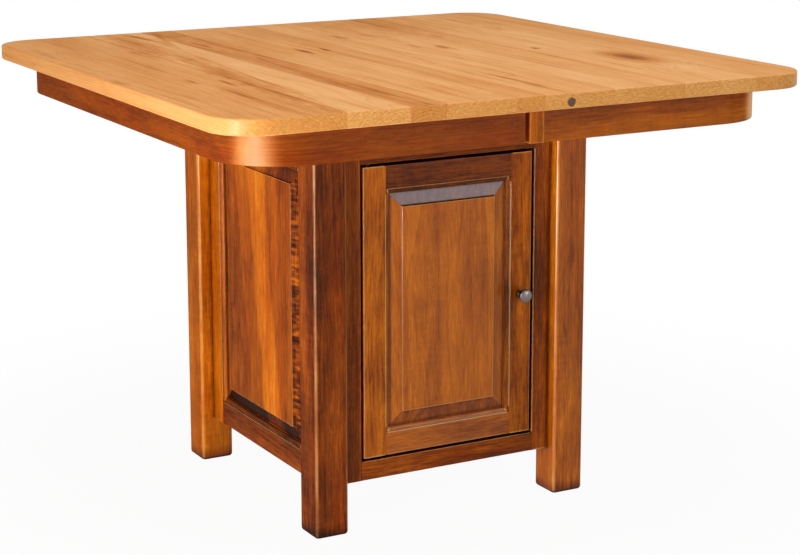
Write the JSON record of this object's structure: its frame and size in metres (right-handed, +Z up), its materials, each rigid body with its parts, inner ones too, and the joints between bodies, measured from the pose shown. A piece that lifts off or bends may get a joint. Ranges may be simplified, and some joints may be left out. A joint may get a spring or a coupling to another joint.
{
  "type": "kitchen table with storage cabinet",
  "caption": "Square wooden kitchen table on a cabinet base with corner posts, raised panels and an inset door; the top parts at a centre seam on geared slides.",
  "frame": {"origin": "on the floor, under the middle of the closed table top", "axes": "+Z up; the cabinet door faces -Y; the halves of the top slide apart along X, the left half towards -X"},
  "size_m": [1.0668, 1.0668, 0.762],
  "materials": {
    "top_wood": "rustic hickory boards, amber stain, satin lacquer",
    "base_wood": "brown maple, reddish brown stain, semi-gloss lacquer",
    "slide_wood": "plain hardwood, waxed",
    "inner_board": "veneered board, stained, flat lacquer",
    "pin_wood": "turned hardwood",
    "hardware_steel": "zinc plated",
    "knob_metal": "brushed pewter",
    "catch_plastic": "brown plastic case"
  },
  "bodies": {
    "base": {"back_bottom_rail": "base_wood", "back_center_slide": "slide_wood", "back_left_stile": "base_wood", "back_panel": "base_wood", "back_right_stile": "base_wood", "back_top_rail": "base_wood", "cabinet_floor": "inner_board", "cabinet_shelf": "inner_board", "cabinet_top_board": "inner_board", "face_frame_bottom_rail": "base_wood", "face_frame_left_stile": "base_wood", "face_frame_right_stile": "base_wood", "face_frame_top_rail": "base_wood", "front_center_slide": "slide_wood", "hinge_frame_leaves": "hardware_steel", "left_side_back_stile": "base_wood", "left_side_bottom_rail": "base_wood", "left_side_front_stile": "base_wood", "left_side_panel": "base_wood", "left_side_top_rail": "base_wood", "magnetic_catch": "catch_plastic", "pinion_pins": "hardware_steel", "post_back_left": "base_wood", "post_back_right": "base_wood", "post_front_left": "base_wood", "post_front_right": "base_wood", "right_side_back_stile": "base_wood", "right_side_bottom_rail": "base_wood", "right_side_front_stile": "base_wood", "right_side_panel": "base_wood", "right_side_top_rail": "base_wood", "shelf_pins": "hardware_steel", "slide_base_screws": "hardware_steel"},
    "door": {"door_hinge_stile": "base_wood", "door_lock_stile": "base_wood", "door_top_rail": "base_wood", "door_bottom_rail": "base_wood", "door_panel": "base_wood", "door_knob": "knob_metal", "knob_screw": "hardware_steel", "catch_strike_plate": "hardware_steel", "hinge_door_leaves": "hardware_steel"},
    "left_half": {"left_top_half": "top_wood", "left_apron": "base_wood", "left_slide_rails": "slide_wood", "left_slide_racks": "hardware_steel", "left_slide_screws": "hardware_steel", "alignment_pins": "pin_wood", "table_lock_plate": "hardware_steel"},
    "right_half": {"right_top_half": "top_wood", "right_apron": "base_wood", "right_apron_end_blocks": "base_wood", "right_slide_rails": "slide_wood", "right_slide_racks": "hardware_steel", "right_slide_screws": "hardware_steel", "table_lock_keeper": "hardware_steel"},
    "front_pinion": {"front_pinion": "hardware_steel"},
    "back_pinion": {"back_pinion": "hardware_steel"},
    "lock_lever": {"table_lock_lever": "hardware_steel"}
  },
  "joints": [
    {"name": "left_slide", "type": "slide", "parent": "base", "child": "left_half", "axis": [-1, 0, 0], "range_m": [0, 0.305]},
    {"name": "right_slide", "type": "slide", "parent": "base", "child": "right_half", "axis": [1, 0, 0], "range_m": [0, 0.305]},
    {"name": "front_pinion_turn", "type": "hinge", "parent": "base", "child": "front_pinion", "pos_m": [0, -0.15, 0.7], "axis": [0, 0, 1], "range_deg": [0, 874]},
    {"name": "back_pinion_turn", "type": "hinge", "parent": "base", "child": "back_pinion", "pos_m": [0, 0.15, 0.7], "axis": [0, 0, -1], "range_deg": [0, 874]},
    {"name": "door_hinge", "type": "hinge", "parent": "base", "child": "door", "pos_m": [-0.1513, -0.2375, 0.3675], "axis": [0, 0, -1], "range_deg": [0, 110]},
    {"name": "lock_turn", "type": "hinge", "parent": "left_half", "child": "lock_lever", "pos_m": [-0.032, 0, 0.7316], "axis": [0, 0, -1], "range_deg": [0, 90]}
  ],
  "couplings": [
    {"joint": "right_slide", "follows": "left_slide", "ratio": 1},
    {"joint": "front_pinion_turn", "follows": "left_slide", "rad_per_m": 50},
    {"joint": "back_pinion_turn", "follows": "left_slide", "rad_per_m": 50}
  ]
}
